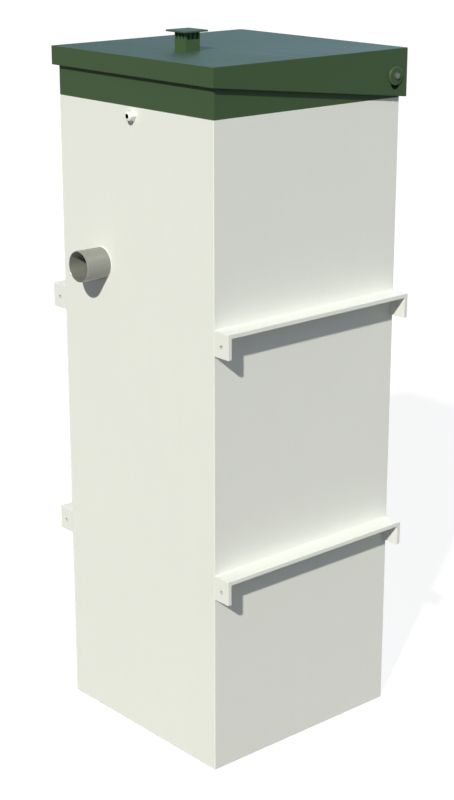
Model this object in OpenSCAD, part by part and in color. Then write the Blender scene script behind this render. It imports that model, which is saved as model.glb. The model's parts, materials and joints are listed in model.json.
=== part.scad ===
// Septic tank welded from plastic sheet: a tall open box on a flat base, a green collar,
// a hinged lid with a slotted vent, two ribs on each side, an inlet pipe and a cable gland.
// Millimetres. The front looks along -Y and +Z is up.
// The origin is the middle of the base's underside.

/* [Shell] */
// Width of the shell, from side to side
shell_width = 810; // [760:10:1200]
// Depth of the shell, from front to back
shell_depth = 834; // [760:2:1200]
// Height of the white shell, up to the foot of the collar
shell_height = 2270; // [2000:10:2800]
// Height of the green collar above the white shell
collar_height = 153; // [145:1:200]
// Thickness of the welded wall sheets
sheet = 8; // [6:1:9]
// Thickness of the base plate
base_thickness = 10; // [8:1:15]

/* [Lid] */
// How far the lid stands out past the collar on every side
lid_overhang = 18; // [16:1:25]
// Gap between the collar's rim and the lid's underside
rim_gap = 5; // [3:1:8]
// Depth of the front skirt, from the lid's top
front_skirt = 64; // [50:1:80]
// Depth of the side skirts at their back corners, from the lid's top
corner_skirt = 165; // [140:1:170]
// Depth of the back skirt, from the lid's top
back_skirt = 40; // [20:1:40]

/* [Hinge] */
// Distance of the hinge axis from the lid's back edge
hinge_inset = 60; // [58:1:75]
// Distance of the hinge axis below the lid's top
hinge_drop = 90; // [88:1:95]
// Radius of a hinge bolt's shank
bolt_radius = 6; // [5:0.5:7]
// Gap around the shank in the lid
bolt_clearance = 0.08; // [0.02:0.01:0.1]
// Radius of the round boss on each side skirt
boss_radius = 32; // [25:0.5:40]
// Thickness of the round boss
boss_thickness = 7; // [6:0.5:12]

/* [Ribs] */
// Height of the lower ribs' top face
lower_rib_height = 736; // [400:1:1000]
// Height of the upper ribs' top face
upper_rib_height = 1594; // [1200:1:1900]
// How far a rib stands out from its side wall
rib_reach = 70; // [50:1:100]
// Thickness of a rib and of its end tabs
rib_thickness = 15; // [10:1:20]
// Height of an end tab, with the rib's own thickness
tab_height = 86; // [75:1:120]
// Radius of the anchor hole in each end tab
anchor_radius = 7.5; // [5:0.5:10]
// Height of the anchor hole above the foot of its tab
anchor_rise = 38; // [20:1:50]

/* [Inlet] */
// Outer radius of the inlet pipe
inlet_radius = 55; // [40:1:80]
// Wall thickness of the inlet pipe
inlet_wall = 3.2; // [2.4:0.2:5]
// Height of the inlet pipe's axis
inlet_height = 1716; // [1400:1:1900]
// Distance of the inlet pipe's axis to the left of the middle
inlet_offset = 188; // [120:1:260]
// Length of the inlet pipe, from the front wall outwards
inlet_reach = 100; // [60:5:150]

/* [Cable gland] */
// Distance of the gland's axis below the foot of the collar
gland_drop = 29; // [24:1:60]
// Width of the gland's hexagon across its flats
gland_flats = 33; // [27:1:40]
// Radius of the gland's threaded barrel
gland_barrel = 12.5; // [10:0.5:13]
// Radius of the hole that the cable runs through
gland_bore = 7; // [5:0.5:8]

/* [Vent] */
// Distance of the vent to the right of the lid's middle
vent_right = 23; // [-200:1:200]
// Distance of the vent in front of the lid's middle
vent_forward = 202; // [100:1:300]
// Width of the vent housing
vent_width = 56; // [45:1:90]
// Depth of the vent housing
vent_depth = 62; // [45:1:90]
// Height of the vent housing above the lid
vent_height = 64; // [50:1:90]
// Thickness of the vent housing's walls
vent_wall = 3; // [2:0.5:4]
// Width of the cap
cap_width = 100; // [96:1:140]
// Depth of the cap
cap_depth = 100; // [96:1:140]
// Thickness of the cap
cap_thickness = 6; // [3:0.5:8]
// Distance of the cap's middle to the left of the housing's middle
cap_left = 4; // [0:1:5]
// Distance of the cap's middle behind the housing's middle
cap_back = 2; // [0:1:5]
// Number of slots in each face of the housing
slot_count = 3; // [1:1:3]
// Height of a slot, down from the cap
slot_height = 23; // [10:1:35]

/* [Hidden] */

half_width = shell_width / 2;
half_depth = shell_depth / 2;
rim_height = shell_height + collar_height;

lid_underside = rim_height + rim_gap;
lid_height = lid_underside + sheet;
lid_half_width = half_width + lid_overhang;
lid_half_depth = half_depth + lid_overhang;

hinge_y = lid_half_depth - hinge_inset;
hinge_z = lid_height - hinge_drop;
// The shank passes the collar with the usual gap of a clearance hole
collar_hole = bolt_radius + 0.5;
// A hexagon head or nut is three shank radii wide across its flats
hex_flats = 3 * bolt_radius;
head_height = 1.25 * bolt_radius;
nut_height = 1.6 * bolt_radius;
// Play between the boss and the bolt's head, and between the skirt and the spacer
side_play = 0.5;
// Length of thread that shows past the nut
thread_end = 4;
washer_radius = 13;

gland_z = shell_height - gland_drop;
// Each part of the gland, measured outwards from the wall
gland_hex = 8;
gland_dome = 18;
gland_tip = 26;
gland_locknut_height = 6;

// Slots sit at this share of the face's width, and each takes this share of that spacing
slot_spacing = 0.3;
slot_share = 0.48;

inlet_bore = inlet_radius - inlet_wall;
spigot_bevel = 1.2;
spigot_bevel_length = 4;

white = "#e6e8dc";
green = "#45603f";
pipe_grey = "#9c9d90";
steel = "#a9aba8";

// ---- shared shapes -------------------------------------------------------

// Box centred on X and Y with its lowest face at z = 0
module slab(x, y, z) {
    translate([-x / 2, -y / 2, 0]) cube([x, y, z]);
}

// Round rod from the origin along +X
module rod_x(radius, length) {
    rotate([0, 90, 0]) cylinder(r = radius, h = length, $fn = 96);
}

// Round rod from the origin along -Y
module rod_y(radius, length) {
    rotate([90, 0, 0]) cylinder(r = radius, h = length, $fn = 96);
}

// Hexagon bar from the origin along +X, with a corner up
module hex_x(flats, length) {
    rotate([0, 90, 0]) cylinder(r = flats / sqrt(3), h = length, $fn = 6);
}

// Draws its children on the right, or mirrored on the left
module on_side(right) {
    if (right) children();
    else mirror([1, 0, 0]) children();
}

// ---- shell ---------------------------------------------------------------

module base_plate() {
    color(white) slab(shell_width, shell_depth, base_thickness);
}

// Wall across the front or back, between the heights from and to
module cross_wall(from, to) {
    translate([-half_width, -sheet, from]) cube([shell_width, sheet, to - from]);
}

module front_wall() {
    color(white) translate([0, sheet - half_depth, 0]) difference() {
        cross_wall(base_thickness, shell_height);
        translate([-inlet_offset, sheet, inlet_height]) rod_y(inlet_bore, 3 * sheet);
        translate([0, sheet, gland_z]) rod_y(gland_barrel, 3 * sheet);
    }
}

module back_wall() {
    color(white) translate([0, half_depth, 0]) cross_wall(base_thickness, shell_height);
}

// Wall along the right side, between the heights from and to
module side_wall(from, to) {
    translate([half_width - sheet, sheet - half_depth, from])
        cube([sheet, shell_depth - 2 * sheet, to - from]);
}

module side_shell(right) {
    color(white) on_side(right) side_wall(base_thickness, shell_height);
}

// ---- collar --------------------------------------------------------------

// What the turning lid needs free: all that is behind and above the hinge axis,
// outside a round rod on that axis which stops short of the lid's underside
module lid_sweep() {
    reach = collar_height;
    translate([-half_width, hinge_y, hinge_z]) difference() {
        cube([shell_width, reach, reach]);
        translate([-1, 0, 0]) rod_x(lid_underside - rim_gap - hinge_z, shell_width + 2);
    }
}

module collar_front() {
    color(green) translate([0, sheet - half_depth, 0]) cross_wall(shell_height, rim_height);
}

// The back of the collar is lower, where the lid's back edge dips as it opens
module collar_back() {
    color(green) difference() {
        translate([0, half_depth, 0]) cross_wall(shell_height, rim_height);
        lid_sweep();
    }
}

// The rim rounds off behind the hinge axis, down to the back of the collar
module collar_side(right) {
    color(green) on_side(right) difference() {
        side_wall(shell_height, rim_height);
        lid_sweep();
        translate([half_width - 2 * sheet, hinge_y, hinge_z]) rod_x(collar_hole, 3 * sheet);
    }
}

// ---- ribs ----------------------------------------------------------------

module rib(right, height) {
    color(white) on_side(right) translate([half_width, -half_depth, height - rib_thickness])
        cube([rib_reach, shell_depth, rib_thickness]);
}

// Tab under the end of a rib, flush with the front or back face, with its anchor hole
module tab(right, height, front) {
    near = front ? -half_depth : half_depth - rib_thickness;
    color(white) on_side(right) translate([half_width, near, height - tab_height]) difference() {
        cube([rib_reach, rib_thickness, tab_height - rib_thickness]);
        translate([rib_reach / 2, 2 * rib_thickness, anchor_rise])
            rod_y(anchor_radius, 3 * rib_thickness);
    }
}

// ---- inlet pipe and cable gland ------------------------------------------

// Tube with a bevelled spigot end, welded to the wall around its own bore
module inlet_pipe() {
    color(pipe_grey) translate([-inlet_offset, -half_depth, inlet_height])
        rotate([90, 0, 0]) rotate_extrude($fn = 120) polygon([
            [inlet_bore, 0],
            [inlet_radius, 0],
            [inlet_radius, inlet_reach - spigot_bevel_length],
            [inlet_radius - spigot_bevel, inlet_reach],
            [inlet_bore, inlet_reach]]);
}

// Places its children with +Z pointing out of the front wall on the gland's axis
module at_gland() {
    translate([0, -half_depth, gland_z]) rotate([90, 0, 0]) children();
}

module gland_body() {
    color(white) at_gland() difference() {
        union() {
            cylinder(r = gland_flats / sqrt(3), h = gland_hex, $fn = 6);
            translate([0, 0, -sheet - 2 * gland_locknut_height])
                cylinder(r = gland_barrel, h = sheet + 2 * gland_locknut_height + 1, $fn = 96);
        }
        translate([0, 0, -4 * sheet]) cylinder(r = gland_bore, h = 8 * sheet, $fn = 96);
    }
}

// Hexagon nut that rounds off into a dome around the cable
module gland_nut() {
    crown = gland_flats / 2;
    round = gland_tip - gland_dome;
    color(white) at_gland() intersection() {
        translate([0, 0, gland_hex])
            cylinder(r = 0.94 * gland_flats / sqrt(3), h = gland_tip, $fn = 6);
        rotate_extrude($fn = 96) difference() {
            union() {
                translate([0, gland_hex]) square([crown, gland_dome - gland_hex]);
                translate([0, gland_hex]) square([crown - round, gland_tip - gland_hex]);
                translate([crown - round, gland_dome]) circle(r = round, $fn = 64);
            }
            square([gland_bore, gland_tip + 1]);
        }
    }
}

module gland_locknut() {
    color(white) at_gland() translate([0, 0, -sheet - gland_locknut_height]) difference() {
        cylinder(r = gland_flats / sqrt(3), h = gland_locknut_height, $fn = 6);
        translate([0, 0, -1]) cylinder(r = gland_barrel, h = gland_locknut_height + 2, $fn = 96);
    }
}

// ---- hinge ---------------------------------------------------------------

// Places its children on the hinge axis, at the distance x from the middle of the tank
module on_axis(right, x) {
    on_side(right) translate([x, hinge_y, hinge_z]) children();
}

boss_face = lid_half_width + boss_thickness;
nut_face = half_width - sheet;

// Hexagon head outside the boss, with a shank through boss, skirt, spacer, collar and nut
module hinge_bolt(right) {
    inner_end = nut_face - nut_height - thread_end;
    head_seat = boss_face + side_play;
    color(steel) {
        on_axis(right, inner_end) rod_x(bolt_radius, head_seat - inner_end + 1);
        on_axis(right, head_seat) hex_x(hex_flats, head_height);
    }
}

// Nut with a flange that bears on the collar's inner face
module hinge_nut(right) {
    flange = 3;
    color(steel) on_axis(right, nut_face - nut_height) difference() {
        union() {
            hex_x(hex_flats, nut_height);
            translate([nut_height - flange, 0, 0]) rod_x(washer_radius, flange);
        }
        translate([-1, 0, 0]) rod_x(bolt_radius, nut_height + 2);
    }
}

// Sleeve that keeps the skirt off the collar
module hinge_spacer(right) {
    length = lid_overhang - sheet - side_play;
    color(steel) on_axis(right, half_width) difference() {
        rod_x(washer_radius, length);
        translate([-1, 0, 0]) rod_x(bolt_radius, length + 2);
    }
}

// Round boss on the outside of a side skirt, whose rim rounds off like a cushion's
module hinge_boss(right) {
    round = 5;
    hole = bolt_radius + bolt_clearance;
    color(green) on_axis(right, lid_half_width) rotate([0, 90, 0])
        rotate_extrude($fn = 120) polygon(concat(
            [[hole, 0], [boss_radius, 0]],
            [for (turn = [0 : 10 : 90])
                [boss_radius - round * (1 - cos(turn)), boss_thickness - round * (1 - sin(turn))]],
            [[hole, boss_thickness]]));
}

// ---- lid -----------------------------------------------------------------

module at_vent() {
    translate([vent_right, -vent_forward, lid_height]) children();
}

module lid_top() {
    color(green) difference() {
        translate([0, 0, lid_underside]) slab(2 * lid_half_width, 2 * lid_half_depth, sheet);
        at_vent() translate([0, 0, -2 * sheet])
            slab(vent_width - 2 * vent_wall, vent_depth - 2 * vent_wall, 3 * sheet);
    }
}

// Skirt of the given depth across the front or back, between the side skirts
module cross_skirt(depth) {
    width = 2 * (lid_half_width - sheet);
    translate([-width / 2, -sheet, lid_height - depth]) cube([width, sheet, depth - sheet]);
}

module lid_front_skirt() {
    color(green) translate([0, sheet - lid_half_depth, 0]) cross_skirt(front_skirt);
}

module lid_back_skirt() {
    color(green) translate([0, lid_half_depth, 0]) cross_skirt(back_skirt);
}

// Side skirt that deepens in a straight line towards the back, where it carries the hinge
module side_skirt(right) {
    color(green) on_side(right) difference() {
        translate([lid_half_width - sheet, 0, 0]) rotate([90, 0, 90])
            linear_extrude(sheet) polygon([
                [-lid_half_depth, lid_underside],
                [-lid_half_depth, lid_height - front_skirt],
                [lid_half_depth, lid_height - corner_skirt],
                [lid_half_depth, lid_underside]]);
        translate([lid_half_width - 2 * sheet, hinge_y, hinge_z])
            rod_x(bolt_radius + bolt_clearance, 3 * sheet);
    }
}

// ---- vent ----------------------------------------------------------------

// Row of upright slots through two opposite faces that are width wide and depth apart
module slot_row(width, depth) {
    pitch = slot_spacing * width;
    for (i = [0 : slot_count - 1])
        translate([(i - (slot_count - 1) / 2) * pitch, 0, vent_height - slot_height])
            slab(slot_share * pitch, depth + 2, slot_height + 1);
}

// Square duct on the lid, slotted from its top edge down so that the cap closes the slots
module vent_housing() {
    color(green) at_vent() difference() {
        slab(vent_width, vent_depth, vent_height);
        translate([0, 0, -1])
            slab(vent_width - 2 * vent_wall, vent_depth - 2 * vent_wall, vent_height + 2);
        slot_row(vent_width, vent_depth);
        rotate([0, 0, 90]) slot_row(vent_depth, vent_width);
    }
}

// Plate that lies on the housing a little off its middle
module vent_cap() {
    color(green) at_vent() translate([-cap_left, cap_back, vent_height])
        slab(cap_width, cap_depth, cap_thickness);
}

// ---- nodes ---------------------------------------------------------------

base_plate();
front_wall();
back_wall();
side_shell(false);  // left_wall
side_shell(true);  // right_wall
collar_front();
collar_back();
collar_side(false);  // collar_left
collar_side(true);  // collar_right
for (right = [false, true], upper = [false, true]) {
    name = str(right ? "right" : "left", upper ? "_upper" : "_lower");
    height = upper ? upper_rib_height : lower_rib_height;
    rib(right, height);
    tab(right, height, true);
    tab(right, height, false);
}
inlet_pipe();
gland_body();
gland_nut();
gland_locknut();
for (right = [false, true]) {
    name = right ? "right" : "left";
    hinge_bolt(right);
    hinge_nut(right);
    hinge_spacer(right);
    hinge_boss(right);
    side_skirt(right);
}
lid_top();
lid_front_skirt();
lid_back_skirt();
vent_housing();
vent_cap();
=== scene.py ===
"""Looks for a sheet-welded septic tank: finishes, rounded sheet parts, weld beads, fittings and a plain studio.

Metres, +Z up. The front looks along -Y and the tank stands on z = 0.
"""

import json
import math

import bmesh
import bpy
import numpy as np
from bpy.props import FloatProperty, FloatVectorProperty, IntProperty, PointerProperty
from bpy.types import Operator, Panel, PropertyGroup
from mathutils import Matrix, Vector


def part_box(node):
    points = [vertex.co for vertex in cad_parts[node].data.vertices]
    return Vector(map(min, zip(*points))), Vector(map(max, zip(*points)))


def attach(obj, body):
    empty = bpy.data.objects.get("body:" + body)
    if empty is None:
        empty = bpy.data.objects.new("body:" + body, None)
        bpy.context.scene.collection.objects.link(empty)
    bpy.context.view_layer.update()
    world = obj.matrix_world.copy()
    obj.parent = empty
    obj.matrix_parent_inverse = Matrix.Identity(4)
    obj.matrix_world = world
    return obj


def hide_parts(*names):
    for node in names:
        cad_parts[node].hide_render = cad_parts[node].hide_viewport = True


bl_info = {
    "name": "Septic Tank Looks",
    "version": (1, 0, 0),
    "blender": (4, 5, 0),
    "location": "View3D > Sidebar > Tank",
    "description": "Finishes, detail pieces and a studio for a sheet-welded septic tank",
    "category": "Object",
}

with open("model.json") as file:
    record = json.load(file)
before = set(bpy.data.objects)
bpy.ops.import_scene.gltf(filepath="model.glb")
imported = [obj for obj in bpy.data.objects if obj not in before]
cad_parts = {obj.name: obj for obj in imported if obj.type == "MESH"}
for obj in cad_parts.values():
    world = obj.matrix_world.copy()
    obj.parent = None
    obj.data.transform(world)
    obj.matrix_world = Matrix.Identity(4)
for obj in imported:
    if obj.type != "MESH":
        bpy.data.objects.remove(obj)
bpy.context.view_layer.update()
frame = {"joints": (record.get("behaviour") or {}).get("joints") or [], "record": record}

# ---- materials ---------------------------------------------------------------


def feed(tree, socket, value):
    """Links a socket to another one, or sets its value."""
    if isinstance(value, bpy.types.NodeSocket):
        tree.links.new(value, socket)
    else:
        socket.default_value = value


def add_node(tree, kind, inputs=None, **settings):
    """A new node of that kind, with its settings, and its inputs set or linked."""
    node = tree.nodes.new(kind)
    for key, value in settings.items():
        setattr(node, key, value)
    for key, value in (inputs or {}).items():
        feed(tree, node.inputs[key], value)
    return node


def object_point(tree, scale=(1, 1, 1), rotation=(0, 0, 0)):
    """Object coordinates, scaled along each axis and turned."""
    point = add_node(tree, "ShaderNodeTexCoord").outputs["Object"]
    inputs = {"Vector": point, "Scale": scale, "Rotation": rotation}
    return add_node(tree, "ShaderNodeMapping", inputs).outputs["Vector"]


def noise(tree, point, scale, detail=2.0, roughness=0.5, distortion=0.0):
    """Value noise from 0 to 1 around 0.5."""
    inputs = {"Vector": point, "Scale": scale, "Detail": detail, "Roughness": roughness, "Distortion": distortion}
    return add_node(tree, "ShaderNodeTexNoise", inputs).outputs["Fac"]


def spread(tree, value, low, high, start=0.3, end=0.7):
    """Maps start..end of a value onto low..high, clamped."""
    inputs = {"Value": value, "From Min": start, "From Max": end, "To Min": low, "To Max": high}
    return add_node(tree, "ShaderNodeMapRange", inputs).outputs["Result"]


def arithmetic(tree, operation, first, second):
    return add_node(tree, "ShaderNodeMath", {0: first, 1: second}, operation=operation).outputs["Value"]


def measure(tree, operation, first, second):
    """One number from two vectors, such as their distance."""
    return add_node(tree, "ShaderNodeVectorMath", {0: first, 1: second}, operation=operation).outputs["Value"]


def blend_colours(tree, factor, first, second):
    """Mixes two colours; either may be a socket."""
    first, second = (c if isinstance(c, bpy.types.NodeSocket) else (*c, 1.0) for c in (first, second))
    return add_node(tree, "ShaderNodeMix", {0: factor, 6: first, 7: second}, data_type="RGBA").outputs[2]


def bump(tree, height, strength, distance, under=None):
    """The normal that a height gives, laid over another one if it is given."""
    inputs = {"Height": height, "Strength": strength, "Distance": distance}
    if under is not None:
        inputs["Normal"] = under
    return add_node(tree, "ShaderNodeBump", inputs).outputs["Normal"]


def shade(colour, factor):
    return tuple(min(1.0, c * factor) for c in colour)


def new_material(name):
    material = bpy.data.materials.new(name)
    material.use_nodes = True
    return material, material.node_tree


def dress(material, colour, roughness, normal, constants=None):
    """Feeds the material's one Principled shader."""
    tree = material.node_tree
    inputs = {"Base Color": colour, "Roughness": roughness, "Normal": normal, **(constants or {})}
    for key, value in inputs.items():
        feed(tree, tree.nodes["Principled BSDF"].inputs[key], value)
    return material


def sheet_finish(name, finish, colour, grain_axis, gloss=0.5, roughness=None, tone=3):
    """Extruded plastic sheet: cloudy tone, faint roller streaks along the sheet, fine grain and light scuffs.
    tone multiplies the variation that the panel gives."""
    material, tree = new_material(name)
    variation, roughness = tone * finish.sheet_variation, roughness or finish.sheet_roughness
    point = object_point(tree)
    along_grain = object_point(tree, [0.04 if axis == grain_axis else 1 for axis in "XYZ"])
    cloud = noise(tree, point, 2.3, 3.0, 0.55)
    streak = noise(tree, along_grain, 46.0, 3.0, 0.6)
    scuff = noise(tree, object_point(tree, (3.0, 3.0, 0.7), (0.4, 0.3, 0.9)), 21.0, 6.0, 0.72, 0.35)
    worn = spread(tree, scuff, 0.0, 0.5, 0.62, 0.8)
    depth = arithmetic(tree, "ADD", spread(tree, cloud, 0.0, 0.6), spread(tree, streak, 0.0, 0.4))
    clean = blend_colours(tree, depth, shade(colour, 1 - variation), shade(colour, 1 + variation))
    coloured = blend_colours(tree, worn, clean, shade(colour, 1 + 1.4 * variation))
    drawn = spread(tree, streak, roughness - 0.03, roughness + 0.03)
    rough = arithmetic(tree, "ADD", drawn, spread(tree, cloud, -0.04, 0.04))
    rough = arithmetic(tree, "ADD", rough, arithmetic(tree, "MULTIPLY", worn, 0.16))
    peel = bump(tree, noise(tree, point, 95.0, 2.0, 0.45), 0.12, 0.0006)
    grain = bump(tree, noise(tree, point, 420.0, 2.0, 0.6), 0.10, 0.0001, peel)
    return dress(material, coloured, rough, grain, {"Specular IOR Level": gloss})


def pipe_finish(name, colour, centre, inner):
    """Extruded grey pipe: fine draw lines along its axis (Y), a cloudy tone, and an inner wall that is darker at the
    foot and painted lighter towards the top, which stands in for light in the bore's shade."""
    material, tree = new_material(name)
    x, z = centre
    reach = measure(tree, "DISTANCE", object_point(tree, (1, 0, 1)), (x, 0, z))
    up = arithmetic(tree, "SUBTRACT", measure(tree, "DOT_PRODUCT", object_point(tree), (0, 0, 1)), z)
    drawn = noise(tree, object_point(tree, (1, 0.015, 1)), 260.0, 3.0, 0.6)
    cloud = noise(tree, object_point(tree), 14.0, 3.0, 0.6)
    depth = arithmetic(tree, "ADD", spread(tree, drawn, 0.0, 0.5), spread(tree, cloud, 0.0, 0.5))
    clean = blend_colours(tree, depth, shade(colour, 0.94), shade(colour, 1.06))
    # Painted light: the inner wall is lightened towards its top, where the bore lies in shade, and is darker at its
    # foot.
    foot_tone = spread(tree, up, 0.42, 0.6, -0.95 * inner, -0.4 * inner)
    painted_top_light = spread(tree, up, 1.0, 1.5, 0.1 * inner, 0.7 * inner)
    inner_tone_and_light = arithmetic(tree, "MULTIPLY", arithmetic(tree, "MULTIPLY", foot_tone, painted_top_light), spread(tree, cloud, 0.94, 1.06))
    inner_tone_painted = blend_colours(tree, inner_tone_and_light, (0, 0, 0), shade(colour, 2))
    outside = spread(tree, reach, 0.0, 1.0, inner + 0.0003, inner + 0.0009)
    coloured = blend_colours(tree, outside, inner_tone_painted, clean)
    return dress(material, coloured, spread(tree, cloud, 0.14, 0.19), bump(tree, drawn, 0.15, 0.0002), {"IOR": 2.1})


def clouded_finish(name, colours, roughness, cloud, relief, gloss=0.5, grain=None):
    """Moulded plastic or rubber: one noise blends both colours and both roughnesses, and it or a finer grain gives
    the relief. cloud and grain are (scale, detail, roughness), and relief is (strength, distance)."""
    material, tree = new_material(name)
    point = object_point(tree)
    mist = noise(tree, point, *cloud)
    height = noise(tree, point, *grain) if grain else mist
    normal = bump(tree, height, *relief)
    coloured = blend_colours(tree, mist, *colours)
    return dress(material, coloured, spread(tree, mist, *roughness), normal, {"Specular IOR Level": gloss})


def moulded_finish(name, colour):
    """Injection-moulded fitting: fine spark-eroded grain on an even colour."""
    colours = shade(colour, 0.97), shade(colour, 1.03)
    return clouded_finish(name, colours, (0.34, 0.42), (60.0, 2.0, 0.5), (0.12, 0.0001), grain=(900.0, 2.0, 0.5))


def bead_finish(name, colour, gloss=0.5):
    """Hot-gas weld rod: glossier than the sheet and a little clouded."""
    colours = shade(colour, 0.96), shade(colour, 1.03)
    return clouded_finish(name, colours, (0.3, 0.42), (130.0, 2.0, 0.5), (0.15, 0.0003), gloss)


def rubber_finish(name):
    """Black moulded rubber with a dull bloom."""
    colours = (0.001, 0.003, 0.001), (0.003, 0.007, 0.003)
    return clouded_finish(name, colours, (0.6, 0.8), (55.0, 4.0, 0.6), (0.1, 0.0003), 0.02)


def zinc_finish(name, colour):
    """Zinc-plated steel gone dull: crystal patches, and slightly darker, rougher spots."""
    material, tree = new_material(name)
    point = object_point(tree)
    crystal = add_node(tree, "ShaderNodeTexVoronoi", {"Vector": point, "Scale": 420.0}, feature="F1").outputs["Color"]
    cloud = noise(tree, point, 160.0, 4.0, 0.6)
    depth = arithmetic(tree, "ADD", arithmetic(tree, "MULTIPLY", crystal, 0.5), spread(tree, cloud, 0.0, 0.5))
    coloured = blend_colours(tree, depth, shade(colour, 0.82), shade(colour, 1.1))
    rough = spread(tree, cloud, 0.45, 0.6)
    return dress(material, coloured, rough, bump(tree, cloud, 0.1, 0.0001), {"Metallic": 0.35})


def screen_and_shade_finish(name):
    """Dark woven fly screen, whose near-black also paints the shade inside the duct: two crossed waves for its wires,
    dull black between them.
    """
    material, tree = new_material(name)
    inputs = {"Vector": object_point(tree), "Scale": 220.0}
    waves = [add_node(tree, "ShaderNodeTexWave", inputs, bands_direction=way) for way in ("DIAGONAL", "Z")]
    wires = arithmetic(tree, "MAXIMUM", *(wave.outputs["Fac"] for wave in waves))
    shown = spread(tree, wires, 0.0, 1.0, 0.6, 0.9)
    coloured = blend_colours(tree, shown, (0.016, 0.027, 0.014), (0.036, 0.056, 0.03))
    return dress(material, coloured, 0.7, bump(tree, wires, 0.6, 0.0003), {"Specular IOR Level": 0.2})


# ---- surfaces from grids of points --------------------------------------------


def surface(name, grids, smooth_below):
    """One closed mesh from grids of points (rows, columns, 3): each four neighbouring points make a face.
    Points within 10 micrometres are merged, a face that closes up to a line is dropped, and all faces turn outwards.
    Edges stay smooth below that many degrees."""
    quads, base = [], 0
    for grid in grids:
        rows, columns = grid.shape[:2]
        i = np.arange(rows * columns).reshape(rows, columns) + base
        quads.append(np.stack([i[:-1, :-1], i[1:, :-1], i[1:, 1:], i[:-1, 1:]], -1).reshape(-1, 4))
        base += rows * columns
    points = np.concatenate([grid.reshape(-1, 3) for grid in grids])
    cells = np.round(points * 1e5 + 0.0137).astype(np.int64)
    _, first, index = np.unique(cells, axis=0, return_index=True, return_inverse=True)
    points, quads = points[first], index.reshape(-1)[np.concatenate(quads)]
    same = quads == np.roll(quads, -1, axis=1)
    crossed = (quads[:, 0] == quads[:, 2]) | (quads[:, 1] == quads[:, 3])
    full = quads[(same.sum(1) == 0) & ~crossed]
    pinched = (same.sum(1) == 1) & ~crossed
    order = (np.argmax(same[pinched], axis=1)[:, None] + 1 + np.arange(3)) % 4
    triangles = np.take_along_axis(quads[pinched], order, axis=1)
    mesh = bpy.data.meshes.new(name)
    mesh.vertices.add(len(points))
    mesh.vertices.foreach_set("co", points.astype(np.float32).ravel())
    mesh.loops.add(full.size + triangles.size)
    corners = np.concatenate([full.ravel(), triangles.ravel()])
    mesh.loops.foreach_set("vertex_index", corners.astype(np.int32))
    mesh.polygons.add(len(full) + len(triangles))
    starts = np.concatenate([np.arange(len(full)) * 4, full.size + np.arange(len(triangles)) * 3])
    mesh.polygons.foreach_set("loop_start", starts.astype(np.int32))
    mesh.update(calc_edges=True)
    mesh.validate()
    work = bmesh.new()
    work.from_mesh(mesh)
    bmesh.ops.recalc_face_normals(work, faces=work.faces)
    work.to_mesh(mesh)
    work.free()
    mesh.shade_smooth()
    mesh.set_sharp_from_angle(angle=math.radians(smooth_below))
    return mesh


def place(name, grids, material, body, replaced=(), smooth_below=35):
    """Makes a piece of the grids, which rides on the body and stands for the named frame parts."""
    mesh = surface(name, grids, smooth_below)
    thing = bpy.data.objects.new(name, mesh)
    bpy.context.scene.collection.objects.link(thing)
    mesh.materials.append(material)
    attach(thing, body)
    if replaced:
        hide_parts(*replaced)
    return thing


def read(items, key, width, kind=np.float32):
    """One property of all the items, a row for each."""
    values = np.zeros(len(items) * width, kind)
    items.foreach_get(key, values)
    return values.reshape(-1, width)


def second_finish(thing, material, chosen):
    """Gives the material to the faces that chosen picks by their middles."""
    mesh = thing.data
    mesh.materials.append(material)
    mesh.polygons.foreach_set("material_index", chosen(read(mesh.polygons, "center", 3)).astype(np.int32))


def round_edges(thing, width, segments=3, share=None):
    """Rounds the sharp edges by a bevel of this width; share gives each edge's part of it, from the edge's middle.
    An edge with no share stays sharp."""
    mesh = thing.data
    middle = read(mesh.vertices, "co", 3)[read(mesh.edges, "vertices", 2, np.int32)].mean(1)
    marks = mesh.attributes["sharp_edge"].data
    sharp = read(marks, "value", 1, bool)[:, 0]
    weight = sharp * (share(middle) if share else np.ones(len(middle)))
    marks.foreach_set("value", sharp & (weight == 0))
    attribute = mesh.attributes.new("bevel_weight_edge", "FLOAT", "EDGE")
    attribute.data.foreach_set("value", weight.astype(np.float32))
    bevel = thing.modifiers.new("rounded_edges", "BEVEL")
    bevel.width = width
    bevel.segments = segments
    bevel.limit_method = "WEIGHT"
    bevel.harden_normals = True


def quad(*corners):
    """One flat face from its four corners in turn."""
    a, b, c, d = (np.array(corner, float) for corner in corners)
    return np.array([[a, b], [d, c]])


def ring(loop):
    """A loop of points, closed by its first."""
    return np.concatenate([loop, loop[:1]])


def at_height(loop, z):
    """A plan (n, 2) lifted to one height, or to one for each point."""
    return np.column_stack([loop, np.broadcast_to(z, len(loop))])


def circle(count=64):
    """Unit circle (count + 1, 2), closed."""
    turn = np.linspace(0, 2 * math.pi, count + 1)
    return np.column_stack([np.cos(turn), np.sin(turn)])


def holed_face(low, high, centre, radius, y):
    """Upright rectangle across Y between two (x, z) corners, with a round hole: each quarter of the rim fans out to
    its own corner."""
    rim = circle()
    quarter = np.arange(len(rim)) // (len(rim) // 4) % 4
    x = np.where((quarter == 0) | (quarter == 3), high[0], low[0])
    z = np.where(quarter < 2, high[1], low[1])
    inner = np.asarray(centre) + radius * rim
    level = np.full(len(rim), y)
    return np.array([np.column_stack([x, level, z]), np.column_stack([inner[:, 0], level, inner[:, 1]])])


def bore(centre, radius, start, end):
    """Round passage along Y."""
    rim = np.asarray(centre) + radius * circle()
    return np.array([np.column_stack([rim[:, 0], np.full(len(rim), y), rim[:, 1]]) for y in (start, end)])


def upright_wall(outer, inner, bottom, level, outer_top, inner_top):
    """Wall that stands on a closed plan: up the outer face, over the top and down the inner face.
    The top may rise and fall along the plan; level is a height that it never goes below."""
    lower = np.full(len(outer), bottom)
    middle = np.full(len(outer), level)
    outside = [(outer, lower), (outer, middle), (outer, outer_top)]
    inside = [(inner, inner_top), (inner, middle), (inner, lower)]
    return np.array([at_height(ring(plan), ring(z)) for plan, z in (*outside, *inside, outside[0])])


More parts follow.
